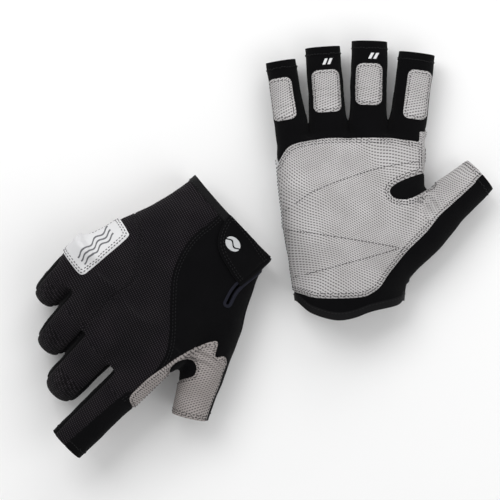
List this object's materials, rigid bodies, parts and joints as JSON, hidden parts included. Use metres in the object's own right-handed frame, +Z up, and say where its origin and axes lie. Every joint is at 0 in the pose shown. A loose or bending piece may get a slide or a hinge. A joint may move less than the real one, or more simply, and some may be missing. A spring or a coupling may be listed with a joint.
{
  "type": "pair of sailing gloves",
  "caption": "Short-finger sailing gloves of rib knit with leather palms and wrist straps, one palm up and straight, one palm down and curled.",
  "frame": {"origin": "centre of the pair's bounding box at the height of the surface they lie on", "axes": "+Z up, +Y along the fingers of the open glove, +X towards the open glove's thumb"},
  "size_m": [0.2938, 0.2638, 0.0535],
  "materials": {
    "rib_knit": "matte rib",
    "spandex": "matte",
    "palm_leather": "matte embossed",
    "patch_leather": "satin",
    "hook_loop": "matte pile",
    "binding": "matte"
  },
  "bodies": {
    "curled_hand": {"curled_cuff_binding": "binding", "curled_wrist_panel": "spandex", "curled_heel_panel": "spandex", "curled_palm_panel": "palm_leather", "curled_back_panel_inner": "rib_knit", "curled_back_panel_outer": "rib_knit", "curled_index_side_strip": "palm_leather", "curled_knuckle_patch": "patch_leather", "curled_strap_anchor": "spandex", "curled_thumb_root": "spandex", "curled_index_root": "spandex", "curled_middle_root": "spandex", "curled_ring_root": "spandex", "curled_little_root": "spandex"},
    "curled_index": {"curled_index_back": "rib_knit", "curled_index_front": "spandex", "curled_index_pad": "palm_leather"},
    "curled_middle": {"curled_middle_back": "rib_knit", "curled_middle_front": "spandex", "curled_middle_pad": "palm_leather"},
    "curled_ring": {"curled_ring_back": "rib_knit", "curled_ring_front": "spandex", "curled_ring_pad": "palm_leather"},
    "curled_little": {"curled_little_back": "rib_knit", "curled_little_front": "spandex", "curled_little_pad": "palm_leather"},
    "curled_thumb": {"curled_thumb_inner": "palm_leather", "curled_thumb_outer": "spandex"},
    "curled_strap": {"curled_strap": "spandex", "curled_hook_pad": "hook_loop"},
    "open_hand": {"open_cuff_binding": "binding", "open_wrist_panel": "spandex", "open_heel_panel": "spandex", "open_palm_panel": "palm_leather", "open_back_panel_inner": "rib_knit", "open_back_panel_outer": "rib_knit", "open_index_side_strip": "palm_leather", "open_knuckle_patch": "patch_leather", "open_strap_anchor": "spandex", "open_thumb_root": "spandex", "open_index_root": "spandex", "open_middle_root": "spandex", "open_ring_root": "spandex", "open_little_root": "spandex"},
    "open_index": {"open_index_back": "rib_knit", "open_index_front": "spandex", "open_index_pad": "palm_leather"},
    "open_middle": {"open_middle_back": "rib_knit", "open_middle_front": "spandex", "open_middle_pad": "palm_leather"},
    "open_ring": {"open_ring_back": "rib_knit", "open_ring_front": "spandex", "open_ring_pad": "palm_leather"},
    "open_little": {"open_little_back": "rib_knit", "open_little_front": "spandex", "open_little_pad": "palm_leather"},
    "open_thumb": {"open_thumb_inner": "palm_leather", "open_thumb_outer": "spandex"},
    "open_strap": {"open_strap": "spandex", "open_hook_pad": "hook_loop"}
  },
  "joints": [
    {"name": "curled_index_knuckle", "type": "hinge", "parent": "curled_hand", "child": "curled_index", "pos_m": [-0.10526, -0.10477, 0.03743], "axis": [0.6968, -0.7172, -0.0048], "range_deg": [-5, 80], "deforming": ["curled_index_pad"]},
    {"name": "curled_middle_knuckle", "type": "hinge", "parent": "curled_hand", "child": "curled_middle", "pos_m": [-0.12562, -0.08779, 0.02921], "axis": [0.7386, -0.674, -0.0159], "range_deg": [-80, 10], "deforming": ["curled_middle_pad"]},
    {"name": "curled_ring_knuckle", "type": "hinge", "parent": "curled_hand", "child": "curled_ring", "pos_m": [-0.13361, -0.05833, 0.02969], "axis": [0.7612, -0.6482, -0.0222], "range_deg": [-80, 10], "deforming": ["curled_ring_pad"]},
    {"name": "curled_little_knuckle", "type": "hinge", "parent": "curled_hand", "child": "curled_little", "pos_m": [-0.1383, -0.0302, 0.03015], "axis": [0.7386, -0.674, -0.0159], "range_deg": [-80, 10], "deforming": ["curled_little_pad"]},
    {"name": "curled_thumb_bend", "type": "hinge", "parent": "curled_hand", "child": "curled_thumb", "pos_m": [-0.04042, -0.08427, 0.02275], "axis": [0.1829, 0.0057, -0.9831], "range_deg": [-5, 45]},
    {"name": "curled_strap_peel", "type": "hinge", "parent": "curled_hand", "child": "curled_strap", "pos_m": [-0.00369, -0.01473, 0.03645], "axis": [0.6843, 0.606, -0.4056], "range_deg": [0, 95]},
    {"name": "open_index_knuckle", "type": "hinge", "parent": "open_hand", "child": "open_index", "pos_m": [0.09524, 0.09963, 0.0163], "axis": [0.9917, -0.1288, 0], "range_deg": [-5, 80], "deforming": ["open_index_pad"]},
    {"name": "open_middle_knuckle", "type": "hinge", "parent": "open_hand", "child": "open_middle", "pos_m": [0.06767, 0.10285, 0.0163], "axis": [0.9997, -0.0244, 0], "range_deg": [-5, 80], "deforming": ["open_middle_pad"]},
    {"name": "open_ring_knuckle", "type": "hinge", "parent": "open_hand", "child": "open_ring", "pos_m": [0.04031, 0.09979, 0.0163], "axis": [0.9972, 0.075, 0], "range_deg": [-5, 80], "deforming": ["open_ring_pad"]},
    {"name": "open_little_knuckle", "type": "hinge", "parent": "open_hand", "child": "open_little", "pos_m": [0.01581, 0.09062, 0.0163], "axis": [0.9877, 0.1564, 0], "range_deg": [-5, 80], "deforming": ["open_little_pad"]},
    {"name": "open_thumb_bend", "type": "hinge", "parent": "open_hand", "child": "open_thumb", "pos_m": [0.12065, 0.03122, 0.0157], "axis": [0.4665, -0.4712, 0.7486], "range_deg": [-5, 45]},
    {"name": "open_strap_peel", "type": "hinge", "parent": "open_hand", "child": "open_strap", "pos_m": [0.09209, -0.01914, 0.00602], "axis": [0.0211, -0.9758, 0.2175], "range_deg": [0, 95]},
    {"name": "open_glove_lift", "type": "slide", "parent": "curled_hand", "child": "open_hand", "axis": [0, 0, 1], "range_m": [0, 0.15]}
  ]
}
